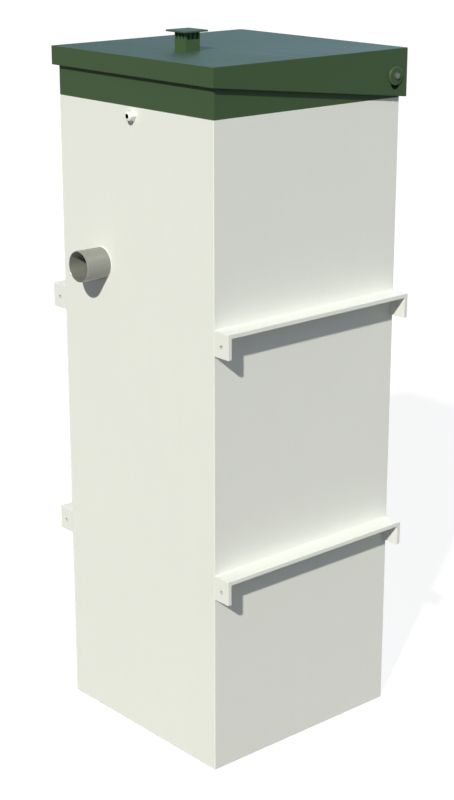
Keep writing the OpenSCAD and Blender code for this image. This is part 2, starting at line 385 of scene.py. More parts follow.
def turned(along, radius, count=96):
    """Surface round the X axis: radius is (rows,), or (rows, count + 1) where it changes round the turn too."""
    turn = np.linspace(0, 2 * math.pi, count + 1)
    radius = np.broadcast_to(np.asarray(radius, float).reshape(len(along), -1), (len(along), count + 1))
    x = np.broadcast_to(np.asarray(along, float)[:, None], radius.shape)
    return np.stack([x, radius * np.sin(turn), radius * np.cos(turn)], -1)


def hexagon(flats, count=96):
    """Radius of a hexagon round the turn: half its flats over the cosine of the angle from the nearest flat."""
    turn = np.linspace(0, 2 * math.pi, count + 1)
    return flats / 2 / np.cos(turn % (math.pi / 3) - math.pi / 6)


def thread(along, pitch, depth, count=96):
    """How deep a thread is cut at each point: a triangle wave that climbs one pitch a turn."""
    turn = np.linspace(0, 1, count + 1)
    return depth * np.abs((along[:, None] / pitch - turn) % 1 * 2 - 1)


def arc(centre, radius, start, end, count=6):
    """Points (along, radius) on a circular arc between two angles in degrees."""
    turn = np.radians(np.linspace(start, end, count))
    return np.column_stack([centre[0] + radius * np.cos(turn), centre[1] + radius * np.sin(turn)])


def onto_hinge(grid, side):
    """Moves a turned surface, measured outwards from the middle of the tank, onto the hinge axis of side -1 or 1."""
    return grid * (side, 1, 1) + (0, HINGE[1], HINGE[2])


def onto_front(grid, x, z):
    """Turns a surface round X into one round Y that stands out of the front wall."""
    return np.stack([grid[..., 2] + x, -grid[..., 0] - SHELL_Y, grid[..., 1] + z], -1)


def weld_bead(path, first, second, radius, closed=False, pitch=0.0035, swell=0.08):
    """Fillet of weld in the corner that a path runs along: a quarter circle between the unit vectors first and
    second, whose radius swells and dips by a twelfth along the path in crescents, and tapers off at open ends."""
    path = np.asarray(path, float)
    steps = np.concatenate([[0], np.cumsum(np.linalg.norm(np.diff(path, axis=0), axis=1))])
    whole = steps[-1]
    along = np.linspace(0, whole, max(8, int(round(whole / pitch * 3))) + 1)

    def resampled(vectors):
        rows = np.broadcast_to(np.asarray(vectors, float), path.shape)
        return np.column_stack([np.interp(along, steps, column) for column in rows.T])[:, None]

    root = resampled(path)
    swing = np.radians(np.linspace(0, 90, 6))
    phase = along[:, None] / whole * round(whole / pitch) + 0.35 * np.sin(2 * swing)
    size = radius * (1 + swell * (2 * np.abs(np.sin(math.pi * phase)) - 1))
    if not closed:
        end = np.minimum(along, whole - along)[:, None] / (2 * radius)
        size = size * np.sqrt(np.clip(end, 0, 1))
    outward = np.cos(swing)[:, None] * resampled(first) + np.sin(swing)[:, None] * resampled(second)
    return np.concatenate([root, root + size[..., None] * outward, root], 1)


# ---- sizes that come from the frame ---------------------------------------------


def low(node):
    """The node's corner with the least x, y and z."""
    return np.array(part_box(node)[0])


def high(node):
    """The node's corner with the greatest x, y and z."""
    return np.array(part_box(node)[1])


MOUNTS = {mount["name"]: mount for mount in frame["record"]["mounts"]}
HINGE = np.array(frame["joints"][0]["pos_m"])
SHELL_X, SHELL_Y = high("right_wall")[0], high("back_wall")[1]
SHELL_TOP, RIM = high("front_wall")[2], high("collar_front")[2]
SHEET = high("front_wall")[1] - low("front_wall")[1]
BASE_TOP = high("base_plate")[2]
LID_X, LID_Y, LID_TOP = high("lid_top")
CORNERS = np.array([[-1, -1], [1, -1], [1, 1], [-1, 1]])
RIBS = ("left_lower", "left_upper", "right_lower", "right_upper")
VENT_WALL, RIM_WIDTH = 0.003, 0.0046
GREEN_GLOSS, RIM_GLOSS, COVER_GLOSS, LID_GLOSS = 0.1, 0.22, 0.34, 0.36
LAMP_DISTANCE = 6


# ---- settings ----------------------------------------------------------------

COLOUR = {"subtype": "COLOR", "size": 3, "min": 0, "max": 1}
SHARE = {"subtype": "FACTOR", "max": 1}


class TankFinish(PropertyGroup):
    """Colours and gloss of the plastic and steel."""

    shell_colour: FloatVectorProperty(
        name="Shell", description="Colour of the white sheet", default=(0.80, 0.815, 0.765), **COLOUR)
    collar_colour: FloatVectorProperty(
        name="Collar", description="Colour of the green sheet", default=(0.0507, 0.0917, 0.0405), **COLOUR)
    # Painted sheen: the lid's green is tinted blue, standing in for the sky's sheen on the top plate and on the
    # vent's cap.
    lid_green_and_painted_sheen: FloatVectorProperty(
        name="Lid top", description="Colour of the lid's top plate", default=(0.0478, 0.0882, 0.0537), **COLOUR)
    vent_colour: FloatVectorProperty(
        name="Vent", description="Colour of the vent duct", default=(0.058, 0.108, 0.045), **COLOUR)
    pipe_colour: FloatVectorProperty(
        name="Pipe", description="Colour of the inlet pipe", default=(0.201, 0.205, 0.178), **COLOUR)
    fitting_colour: FloatVectorProperty(
        name="Cable gland", description="Colour of the cable gland", default=(0.86, 0.87, 0.84), **COLOUR)
    steel_colour: FloatVectorProperty(
        name="Steel", description="Colour of the zinc-plated bolts", default=(0.145, 0.164, 0.114), **COLOUR)
    sheet_variation: FloatProperty(
        name="Tone variation", description="How far the sheet's tone wanders from its colour",
        subtype="FACTOR", min=0, max=0.2, default=0.012)
    sheet_roughness: FloatProperty(
        name="Sheet roughness", description="Surface roughness of the walls", min=0.1, default=0.5, **SHARE)
    lid_roughness: FloatProperty(
        name="Lid roughness", description="Surface roughness of the lid's top plate", min=0.05, default=0.58, **SHARE)


class TankSizes(PropertyGroup):
    """Sizes of edges and small fittings."""

    corner_rounding: FloatProperty(
        name="Corner rounding", description="Rounding of the shell's and the lid's corners",
        unit="LENGTH", min=0.0005, max=0.004, default=0.0025)
    edge_rounding: FloatProperty(
        name="Edge rounding", description="Rounding of the ribs' edges",
        unit="LENGTH", min=0.0003, max=0.003, default=0.0012)
    seal_height: FloatProperty(
        name="Seal height", description="Height of the soft seal above the rim",
        unit="LENGTH", min=0.001, max=0.0048, default=0.0044)
    bead_radius: FloatProperty(
        name="Weld bead", description="Size of the weld beads along the ribs",
        unit="LENGTH", min=0.001, max=0.005, default=0.003)
    bolt_radius: FloatProperty(
        name="Hinge bolt", description="Radius of the hinge bolts",
        unit="LENGTH", min=0.005, max=0.007, default=0.006)
    gland_flats: FloatProperty(
        name="Gland flats", description="Width of the cable gland across its flats",
        unit="LENGTH", min=0.024, max=0.045, default=0.033)
    slot_count: IntProperty(
        name="Vent slots", description="Slots in each face of the vent", min=1, max=3, default=3)
    slot_height: FloatProperty(
        name="Slot height", description="Height of the vent's slots",
        unit="LENGTH", min=0.01, max=0.035, default=0.023)


class TankStudio(PropertyGroup):
    """Camera, lamps and floor."""

    camera_place: FloatVectorProperty(
        name="Camera", description="Where the camera stands",
        subtype="TRANSLATION", unit="LENGTH", size=3, default=(4.42681, -3.88016, 3.05735))
    camera_azimuth: FloatProperty(
        name="Azimuth", description="Turn of the camera round the tank, from the front",
        subtype="ANGLE", default=math.radians(48.8188))
    camera_elevation: FloatProperty(
        name="Elevation", description="How far the camera looks down",
        subtype="ANGLE", default=math.radians(17.7245))
    lens: FloatProperty(
        name="Lens", description="Focal length on a 36 mm high sensor", min=10, max=300, default=76.868)
    sun_azimuth: FloatProperty(
        name="Key azimuth", description="Direction of the key light, from the front",
        subtype="ANGLE", default=math.radians(31.43))
    sun_elevation: FloatProperty(
        name="Key elevation", description="Height of the key light", subtype="ANGLE", default=math.radians(35.32))
    sun_strength: FloatProperty(
        name="Key strength", description="Strength of the key light", min=0, max=20, default=3.72)
    sun_softness: FloatProperty(
        name="Key softness", description="Angle that the key light fills, which softens its shadows",
        subtype="ANGLE", default=math.radians(1.8))
    back_strength: FloatProperty(
        name="Back strength", description="Strength of the low light behind", min=0, max=10, default=1.9)
    fill_strength: FloatProperty(
        name="Fill strength", description="Level of the room light", min=0, max=2, default=0.36)
    floor_size: FloatProperty(
        name="Floor size", description="Width of the floor", unit="LENGTH", min=2, max=400, default=240.0)


# ---- pieces --------------------------------------------------------------------


def hole_of(mount):
    """Centre (x, z) and radius of a round mount along Y."""
    x, _, z = MOUNTS[mount]["pos_m"]
    return np.array([x, z]), MOUNTS[mount]["dims"]["r_mm"] / 1000


def shell_grids(hole, radius):
    """Open box of sheet: two closed plans a sheet apart, carried from the floor to the rim, with a bore through the
    front wall."""
    outside = CORNERS * (SHELL_X, SHELL_Y)
    inside = CORNERS * (SHELL_X - SHEET, SHELL_Y - SHEET)
    grids = [bore(hole, radius, -SHELL_Y, SHEET - SHELL_Y)]
    grids += [np.array([at_height(ring(plan), SHELL_TOP) for plan in (outside, inside)])]
    for plan, foot in ((outside, 0), (inside, BASE_TOP)):
        three_sides = plan[[1, 2, 3, 0]]
        (left, y), (right, _) = plan[:2]
        grids += [np.array([at_height(three_sides, z) for z in (foot, SHELL_TOP)]), quad(*at_height(plan, foot))]
        grids += [holed_face((left, foot), (right, SHELL_TOP), hole, radius, y)]
    return grids


def bracket_grids(rib, tab, hole, radius):
    """Flat bar along a side wall, turned down at both ends into tabs with a bore: two U-shaped sides, joined face by
    face."""
    x0, y0, z0 = low(rib)
    x1, y1, z1 = high(rib)
    foot, thick = low(tab)[2], z1 - z0
    outline = np.array([[y0, foot], [y0, z1], [y1, z1], [y1, foot]])
    inline = np.array([[y0 + thick, foot], [y0 + thick, z0], [y1 - thick, z0], [y1 - thick, foot]])
    grids = [np.array([np.column_stack([np.full(4, x), line]) for line in (outline, inline)]) for x in (x0, x1)]
    for line in (outline, inline):
        start, end = line[1:3]
        grids += [quad((x0, *start), (x1, *start), (x1, *end), (x0, *end))]
    for start, end in ((y0, y0 + thick), (y1, y1 - thick)):
        faces = ((z1, start), (z0, end))
        grids += [holed_face((x0, foot), (x1, top), hole, radius, y) for top, y in faces]
        grids += [quad((x0, start, foot), (x1, start, foot), (x1, end, foot), (x0, end, foot))]
        grids += [bore(hole, radius, start, end)]
    return grids


def collar_grids():
    """Four walls whose top is level, and behind the hinge axis falls on a circle about it."""
    back = np.linspace(HINGE[1], SHELL_Y, 9)
    x = np.concatenate([[-SHELL_X, SHELL_X], np.full(9, SHELL_X), np.full(9, -SHELL_X)])
    y = np.concatenate([[-SHELL_Y, -SHELL_Y], back, back[::-1]])
    outside = np.column_stack([x, y])
    inside = np.clip(outside, (SHEET - SHELL_X, SHEET - SHELL_Y), (SHELL_X - SHEET, SHELL_Y - SHEET))
    reach = RIM - HINGE[2]
    tops = [HINGE[2] + np.sqrt(reach**2 - np.clip(plan[:, 1] - HINGE[1], 0, None) ** 2) for plan in (outside, inside)]
    return [upright_wall(outside, inside, SHELL_TOP, SHELL_TOP + 0.1, *tops)]


def lid_grids():
    """Tray turned upside down: the top plate runs out from the vent's opening, over the edge, down the skirt, whose
    foot falls in a straight line along the sides and steps up across the back, then up its inner face and back in."""
    step = LID_X - SHEET
    half = np.array([[LID_X, LID_Y], [step, LID_Y], [step, LID_Y]])
    outside = np.concatenate([[[-LID_X, -LID_Y], [LID_X, -LID_Y]], half, half[::-1] * (-1, 1)])
    inside = np.clip(outside, (SHEET - LID_X, SHEET - LID_Y), (LID_X - SHEET, LID_Y - SHEET))
    opening = np.clip(outside * 9, low("vent_housing")[:2] + VENT_WALL, high("vent_housing")[:2] - VENT_WALL)
    underside = low("lid_top")[2]
    front_foot, back_foot = low("lid_front_skirt")[2], low("lid_back_skirt")[2]
    fall = (front_foot - low("lid_right_skirt")[2]) / (2 * LID_Y)

    def feet(plan):
        foot = front_foot - fall * (plan[:, 1] + LID_Y)
        foot[4:6] = back_foot
        return foot

    rows = [(opening, LID_TOP), (outside, LID_TOP), (outside, back_foot), (outside, feet(outside))]
    rows += [(inside, feet(inside)), (inside, back_foot), (inside, underside), (opening, underside), rows[0]]
    return [np.array([at_height(ring(plan), ring(np.broadcast_to(z, len(plan)))) for plan, z in rows])]


def vent_grids(count, spacing, share, slot_low):
    """Square duct whose top edge drops to the foot of each slot: the plan holds two points at each slot's edge, one
    high and one low."""
    start, end = low("vent_housing"), high("vent_housing")
    centre, half = (start[:2] + end[:2]) / 2, (end[:2] - start[:2]) / 2
    pitch = 2 * half * spacing
    slots = np.arange(count) - (count - 1) / 2
    outside, inside = [], []
    for side in range(4):
        across, cos, sin = side % 2, math.cos(side * math.pi / 2), math.sin(side * math.pi / 2)
        turn = np.array([[cos, sin], [-sin, cos]])
        edges = (slots[:, None] * pitch[across] + np.array([-1, -1, 1, 1]) * share * pitch[across] / 2).ravel()
        for plan, wall in ((outside, 0), (inside, VENT_WALL)):
            run = np.append(wall - half[across], edges)
            plan.append(np.column_stack([run, np.full(len(run), wall - half[1 - across])]) @ turn)
    outside, inside = np.concatenate(outside) + centre, np.concatenate(inside) + centre
    tops = np.tile(np.append(end[2], np.tile([end[2], slot_low, slot_low, end[2]], count)), 4)
    return [upright_wall(outside, inside, start[2], slot_low, tops, tops)]


def slab_grids(start, end):
    """Flat plate between two corners."""
    (x0, y0, z0), (x1, y1, z1) = start, end
    plan = np.array([[x0, y0], [x1, y0], [x1, y1], [x0, y1]])
    sides = np.array([at_height(ring(plan), z) for z in (z0, z1)])
    return [sides, *(quad(*at_height(plan, z)) for z in (z0, z1))]


# ---- operators ---------------------------------------------------------------



class TANK_OT_shell(Operator):
    """Make the white shell: one welded box of sheet with rounded corners and the inlet's bore"""

    bl_idname = "tank.shell"
    bl_label = "Shell"

    def execute(self, context):
        finish, sizes = context.scene.tank_finish, context.scene.tank_sizes
        white = sheet_finish("white_sheet", finish, finish.shell_colour, "Z", tone=1)
        replaced = ["base_plate", "front_wall", "back_wall", "left_wall", "right_wall"]
        shell = place("shell", shell_grids(*hole_of("inlet_bore")), white, "tank", replaced)
        round_edges(shell, sizes.corner_rounding, 4, self.rounding)
        return {"FINISHED"}

    def rounding(self, middle):
        """Little where the collar stands on the shell, and all of it elsewhere."""
        return np.where(middle[:, 2] > SHELL_TOP - 0.001, 0.2, 1.0)


class TANK_OT_ribs(Operator):
    """Make the four ribs, each with its two drilled end tabs, in one bar"""

    bl_idname = "tank.ribs"
    bl_label = "Ribs"

    def execute(self, context):
        finish, sizes = context.scene.tank_finish, context.scene.tank_sizes
        white = sheet_finish("rib_sheet", finish, finish.shell_colour, "Y", tone=1)
        # Painted shade: the tabs' bores get the sheet's colour at three quarters, standing in for the shade inside
        # them.
        bore_shade_paint = sheet_finish("soiled_bore", finish, shade(finish.shell_colour, 0.75), "Y", roughness=0.6)
        for name in RIBS:
            hole, radius = hole_of(name + "_front_anchor")
            grids = bracket_grids(name + "_rib", name + "_front_tab", hole, radius)
            replaced = [name + "_rib", name + "_front_tab", name + "_back_tab"]
            bracket = place(name + "_bracket", grids, white, "tank", replaced)
            second_finish(bracket, bore_shade_paint, lambda middle: self.reach(middle, hole) < radius)
            round_edges(bracket, sizes.edge_rounding, 3, lambda middle: self.rounding(middle, hole, radius))
        return {"FINISHED"}

    def reach(self, middle, hole):
        """How far each point is from the line along Y through the hole."""
        return np.hypot(middle[:, 0] - hole[0], middle[:, 2] - hole[1])

    def rounding(self, middle, hole, radius):
        """None against the wall, little at the holes' rims, and all of it elsewhere."""
        at_wall = abs(middle[:, 0]) < SHELL_X + 0.001
        at_hole = self.reach(middle, hole) < 1.2 * radius
        return np.where(at_wall, 0.0, np.where(at_hole, 0.2, 1.0))


class TANK_OT_collar(Operator):
    """Make the green collar, whose rim rounds off behind the hinge, and the soft seal along its rim"""

    bl_idname = "tank.collar"
    bl_label = "Collar and seal"

    def execute(self, context):
        finish, sizes = context.scene.tank_finish, context.scene.tank_sizes
        green = sheet_finish("green_sheet", finish, finish.collar_colour, "Y", GREEN_GLOSS)
        replaced = ["collar_front", "collar_back", "collar_left", "collar_right"]
        collar = place("collar", collar_grids(), green, "tank", replaced)
        round_edges(collar, sizes.corner_rounding, 4, self.rounding)
        place("rim_seal", self.seal(sizes.seal_height), rubber_finish("seal_rubber"), "tank")
        return {"FINISHED"}

    def rounding(self, middle):
        """Little where the collar stands on the shell, half of it along the rim, and all of it at the corners."""
        at_foot, at_rim = middle[:, 2] < SHELL_TOP + 0.001, middle[:, 2] > RIM - 0.02
        return np.where(at_foot, 0.2, np.where(at_rim, 0.5, 1.0))

    def seal(self, height, half_width=0.0034):
        """Half ellipse carried along the middle of the rim, from the hinge axis on one side round the front to the
        other."""
        x, y, end = SHELL_X - SHEET / 2, SHELL_Y - SHEET / 2, HINGE[1] - 0.02
        plan = np.array([[-x, end], [-x, -y], [x, -y], [x, end]])
        outward = np.array([[-1, 0], [-1, -1], [1, -1], [1, 0]])
        turn = np.radians(np.linspace(0, 180, 13))
        across, up = ring(half_width * np.cos(turn)), ring(height * np.sin(turn))
        rows = plan[:, None] + across[:, None] * outward[:, None]
        grid = np.concatenate([rows, np.broadcast_to(RIM + up, rows.shape[:2])[..., None]], -1)
        ends = [np.array([row, np.broadcast_to(row.mean(0), row.shape)]) for row in (grid[0], grid[-1])]
        return [grid, *ends]


class TANK_OT_lid(Operator):
    """Make the lid: one green tray, glossier on top, with rounded edges and a skirt that deepens towards the hinge"""

    bl_idname = "tank.lid"
    bl_label = "Lid"

    def execute(self, context):
        finish, sizes = context.scene.tank_finish, context.scene.tank_sizes
        # The top plate's blue tint is a painted sheen of the sky on its green.
        green = sheet_finish("lid_sheet", finish, finish.lid_green_and_painted_sheen, "X", LID_GLOSS, finish.lid_roughness)
        dull = sheet_finish("skirt_sheet", finish, finish.collar_colour, "Y", GREEN_GLOSS)
        replaced = ["lid_top", "lid_front_skirt", "lid_back_skirt", "lid_left_skirt", "lid_right_skirt"]
        lid = place("lid_tray", lid_grids(), green, "lid", replaced)
        second_finish(lid, dull, lambda middle: middle[:, 2] < LID_TOP - 0.001)
        round_edges(lid, sizes.corner_rounding, 4)
        return {"FINISHED"}


class TANK_OT_vent(Operator):
    """Make the slotted vent duct, its flat cap with a locating rim, and the dark fly screen behind the slots, which
    paints the shade inside the duct
    """

    bl_idname = "tank.vent"
    bl_label = "Vent"

    def execute(self, context):
        finish, sizes = context.scene.tank_finish, context.scene.tank_sizes
        green = sheet_finish("vent_sheet", finish, finish.vent_colour, "Z", GREEN_GLOSS)
        glossy = sheet_finish("cover_sheet", finish, finish.lid_green_and_painted_sheen, "X", COVER_GLOSS, finish.lid_roughness)
        top = high("vent_housing")[2]
        slot_foot = top - sizes.slot_height
        slots = vent_grids(sizes.slot_count, spacing=0.3, share=0.48, slot_low=slot_foot)
        duct = place("vent_duct", slots, green, "lid", ["vent_housing"])
        round_edges(duct, width=0.0005, segments=2)
        slab = slab_grids(low("vent_cap"), high("vent_cap"))
        cover = place("vent_cover", slab, glossy, "lid", ["vent_cap"])
        round_edges(cover, width=0.0012)
        rim_foot, rim_top = top - 0.006, top + 0.001
        grids = self.liner(0.0006, VENT_WALL, rim_foot, rim_foot + 0.003, rim_top)
        rim = place("vent_cover_rim", grids, green, "lid")
        round_edges(rim, width=0.0006, segments=2)
        # Painted shade: the near-black screen behind the slots stands in for the shade inside the duct.
        screen_foot, screen_top = slot_foot - 0.006, rim_foot - 0.0005
        grids = self.liner(0.0003, 0.0009, screen_foot, screen_foot + 0.001, screen_top)
        place("vent_fly_screen", grids, screen_and_shade_finish("fly_screen"), "lid")
        return {"FINISHED"}

    def liner(self, gap, reach, foot, level, top):
        """Square sleeve inside the duct, from a gap off its wall to a reach off it."""
        start, end = low("vent_housing")[:2], high("vent_housing")[:2]
        middle, half = (start + end) / 2, (end - start) / 2
        outside, inside = (CORNERS * (half - VENT_WALL - inset) + middle for inset in (gap, reach))
        tops = np.full(4, top)
        return [upright_wall(outside, inside, foot, level, tops, tops)]


class TANK_OT_inlet(Operator):
    """Make the inlet pipe: a tube with a chamfered spigot end and a thin rounded lip"""

    bl_idname = "tank.inlet"
    bl_label = "Inlet pipe"

    def execute(self, context):
        (x, z), radius = hole_of("inlet_spigot")
        _, inner = hole_of("inlet_bore")
        end, lip = -low("inlet_pipe")[1] - SHELL_Y, 0.0009
        rounded = arc((end - lip, inner + lip), lip, start=-90, end=0, count=5)
        chamfer = np.array([(0, -0.0014), (-0.0004, -0.0011), (-0.0042, -0.0002), (-0.005, 0)]) + (end, radius)
        along, reach = np.array([(0, inner), *rounded, *chamfer, (0, radius), (0, inner)]).T
        grey = pipe_finish("grey_pipe", context.scene.tank_finish.pipe_colour, (x, z), inner)
        tube = onto_front(turned(along, reach, count=160), x, z)
        place("inlet_tube", [tube], grey, "tank", ["inlet_pipe"])
        return {"FINISHED"}


class TANK_OT_gland(Operator):
    """Make the cable gland: a hexagon body, a domed nut, its rubber seal, and the locknut inside"""

    bl_idname = "tank.gland"
    bl_label = "Cable gland"

    def execute(self, context):
        (x, z), hole = hole_of("cable_entry")
        flats, tip = context.scene.tank_sizes.gland_flats, -low("gland_nut")[1] - SHELL_Y
        white = moulded_finish("white_moulding", context.scene.tank_finish.fitting_colour)
        rubber = rubber_finish("gland_rubber")
        seal_wall, flange, gap, locknut, barrel = 0.0012, 0.008, 0.0006, 0.006, 0.0125
        inner = hole + seal_wall
        parts = (
            ("flange", self.hexagon_block(flats, 0.0, flange, inner), white, ["gland_body"]),
            ("barrel", self.barrel(inner), white, []),
            ("cap_nut", self.dome(flats, flange + gap, tip, inner), white, ["gland_nut"]),
            ("backing_nut", self.hexagon_block(flats, -SHEET - locknut, -SHEET, barrel), white, ["gland_locknut"]),
            ("seal", self.seal(tip, hole, inner), rubber, []),
        )
        for name, grid, material, replaced in parts:
            place("gland_" + name, [onto_front(grid, x, z)], material, "tank", replaced)
        return {"FINISHED"}

    def hexagon_block(self, flats, start, end, inner):
        """Hexagon with turned corners: its radius is the lesser of the hexagon's and of a cone's at each end."""
        along = np.array([start, start, start + 0.0004, start + 0.0012, end - 0.0012, end - 0.0004, end, end, start])
        cone = flats / 2 + np.array([0, 0.0004, 0.0012, 0.0034, 0.0034, 0.0012, 0.0004, 0, 0])
        radius = np.minimum(hexagon(flats), cone[:, None])
        radius[[0, -2, -1]] = inner
        return turned(along, radius)

    def barrel(self, inner, crest=0.0122):
        """Threaded tube behind the wall."""
        along = np.linspace(-SHEET - 0.0105, 0.009, 90)
        radius = crest - thread(along, pitch=0.0015, depth=0.0009)
        ends = np.full_like(radius[:1], inner)
        radius = np.concatenate([ends, radius, ends, ends])
        return turned(np.concatenate([along[:1], along, along[-1:], along[:1]]), radius)

    def dome(self, flats, start, tip, inner, bend=0.008):
        """Hexagon that rounds off into a dome: its radius is the lesser of the hexagon's and a quarter circle's."""
        shoulder, crown = tip - bend, flats / 2
        curve = arc((shoulder, crown - bend), bend, start=90, end=4, count=12)[1:]
        straight = [(along, crown) for along in np.linspace(start + 0.002, shoulder, 5)]
        foot = [(start, inner), (start, crown - 0.0007), (start + 0.0006, crown - 0.0001)]
        mouth = [(tip, inner + 0.0008), (tip - 0.0006, inner), (start, inner)]
        along, limit = np.array([*foot, *straight, *curve, *mouth]).T
        return turned(along, np.minimum(hexagon(0.94 * flats), limit[:, None]))

    def seal(self, tip, hole, outer):
        """Rubber sleeve in the nut, with a chamfer at its mouth."""
        mouth = tip - 0.0016
        profile = [(0.002, hole), (tip - 0.003, hole), (mouth, hole + 0.0004), (mouth, outer), (0.002, outer)]
        return turned(*ring(profile).T, count=64)


class TANK_OT_hinge(Operator):
    """Make both hinges: bolt, washer, flanged nut and spacer, and on the lid a boss with a sunk face and below it a
    near-black pad that paints the shade of the gap there
    """

    bl_idname = "tank.hinge"
    bl_label = "Hinges"

    def execute(self, context):
        finish, shank = context.scene.tank_finish, context.scene.tank_sizes.bolt_radius
        zinc = zinc_finish("zinc_plate", finish.steel_colour)
        green = sheet_finish("boss_plastic", finish, finish.collar_colour, "Z", GREEN_GLOSS)
        polished = sheet_finish("boss_rim", finish, finish.collar_colour, "Z", RIM_GLOSS, 0.32)
        # Painted shade: the near-black pad below each boss stands in for the dark shade of the gap there.
        rubber = rubber_finish("pad_rubber")
        fixed, moving = ("tank", "zinc_steel"), ("lid", "lid_green")
        for side, sign in (("left", -1), ("right", 1)):
            parts = (
                ("bolt", self.bolt(shank), zinc, fixed, [side + "_hinge_bolt"]),
                ("washer", self.washer(shank), zinc, fixed, []),
                ("flange_nut", self.flange_nut(shank), zinc, fixed, [side + "_hinge_nut"]),
                ("sleeve", self.sleeve(shank), zinc, fixed, [side + "_hinge_spacer"]),
                ("pivot_boss", self.boss(shank), green, moving, [side + "_hinge_boss"]),
                ("rubber_tongue", self.tongue(), rubber, moving, []),
            )
            for part, grid, material, (body, slot), replaced in parts:
                thing = place(side + "_" + part, [onto_hinge(grid, sign)], material, body, replaced)
                if part == "pivot_boss":
                    second_finish(thing, polished, self.on_rim)
        return {"FINISHED"}

    def on_rim(self, middle):
        """The faces on the boss's rounded rim."""
        reach = np.hypot(middle[:, 1] - HINGE[1], middle[:, 2] - HINGE[2])
        return reach > reach.max() - RIM_WIDTH

    def seat(self, shank):
        """Where the bolt's head rests: the head is 1.25 times the shank's radius high."""
        return high("right_hinge_bolt")[0] - 1.25 * shank

    def outer_radius(self, node):
        return (high(node)[2] - low(node)[2]) / 2

    def bolt(self, shank):
        """Shank with a helical thread at its inner end, and a chamfered hexagon head on a washer face."""
        start, top, seat = low("right_hinge_bolt")[0], high("right_hinge_bolt")[0], self.seat(shank)
        flats, thread_end, run_out = 3 * shank, start + 0.024, 0.001
        along = np.concatenate([np.linspace(start, thread_end, 97), [thread_end + 0.002, seat]])
        deep = np.clip((thread_end - along) / run_out, 0, 1)[:, None]
        chamfer = shank - 0.0014 + (along[:, None] - start)
        radius = np.minimum(shank - thread(along, pitch=0.00175, depth=0.0011) * deep, chamfer)
        head_along = [seat, seat + 0.0006, seat + 0.0006, seat + 0.001, top - 0.0016, top - 0.0005, top, top]
        cone = flats / 2 + np.array([-0.0006, -0.0006, 0.0006, 0.0022, 0.0022, 0.0004, -0.0010, -0.1])
        head = np.clip(np.minimum(hexagon(flats), cone[:, None]), 0, None)
        pole = np.zeros_like(radius[:1])
        return turned(np.concatenate([along[:1], along, head_along]), np.concatenate([pole, radius, head]))

    def washer(self, shank):
        """Flat ring in the sunk face of the boss."""
        seat, thick = self.seat(shank), 0.0018
        return self.flat_ring(seat - thick, seat, shank, 2 * shank, edge=0.0003)

    def sleeve(self, shank):
        """Spacer between the skirt and the collar."""
        start, end = low("right_hinge_spacer")[0], high("right_hinge_spacer")[0]
        return self.flat_ring(start, end, shank, self.outer_radius("right_hinge_spacer"), edge=0.0006)

    def flat_ring(self, start, end, inner, outer, edge):
        """Ring with chamfered outer edges."""
        profile = [(start, inner), (start, outer - edge), (start + edge, outer)]
        profile += [(end - edge, outer), (end, outer - edge), (end, inner)]
        return turned(*ring(profile).T)

    def flange_nut(self, shank):
        """Chamfered hexagon that stands on a round flange."""
        start, seat = low("right_hinge_nut")[0], high("right_hinge_nut")[0]
        hexagon_end, flange = seat - 0.003, self.outer_radius("right_hinge_spacer")
        along = [start, start, start + 0.0005, start + 0.0016, hexagon_end]
        along += [seat - 0.0022, seat - 0.0006, seat, seat, start]
        cone = 1.5 * shank + np.array([0, -0.0010, 0.0004, 0.0022, 0.0022, 0, 0, 0, 0, 0])
        radius = np.minimum(hexagon(3 * shank), cone[:, None])
        radius[5:8] = flange + np.array([-0.0012, 0, -0.0003])[:, None]
        radius[[0, -2, -1]] = shank
        return turned(along, radius)

    def boss(self, shank, bend=0.005):
        """Round boss whose rim is a quarter circle, with a face sunk for the washer."""
        start, end = low("right_hinge_boss")[0], high("right_hinge_boss")[0]
        outer, hole, pocket = self.outer_radius("right_hinge_boss"), shank + 0.0005, 2 * shank + 0.0008
        floor = end - 0.0016
        rim = arc((end - bend, outer - bend), bend, start=90, end=0, count=10)
        sunk = [(end, pocket + 0.0006), (end - 0.0003, pocket + 0.0002), (floor, pocket), (floor, hole)]
        return turned(*np.array([(start, hole), (start, outer), *rim, *sunk, (start, hole)]).T, count=120)

    def tongue(self, half=0.0185, thick=0.0025):
        """Near-black pad that shows below the boss and paints the shade of the gap there: between the boss's circle
        and a half circle that hangs from it.
        """
        start, outer = low("right_hinge_boss")[0], self.outer_radius("right_hinge_boss") - 0.0005
        turn = np.linspace(0, math.pi, 41)
        y = -half * np.cos(turn)
        upper = -np.sqrt(outer**2 - y**2)
        lower = -math.sqrt(outer**2 - half**2) - half * np.sin(turn)
        end, chamfer = start + thick, 0.0006
        rows = [(start, upper), (start, lower), (end - chamfer, lower), (end, lower + chamfer * np.sin(turn))]
        rows += [(end, upper), (start, upper)]
        return np.array([np.column_stack([np.full(len(y), x), y, z]) for x, z in rows])


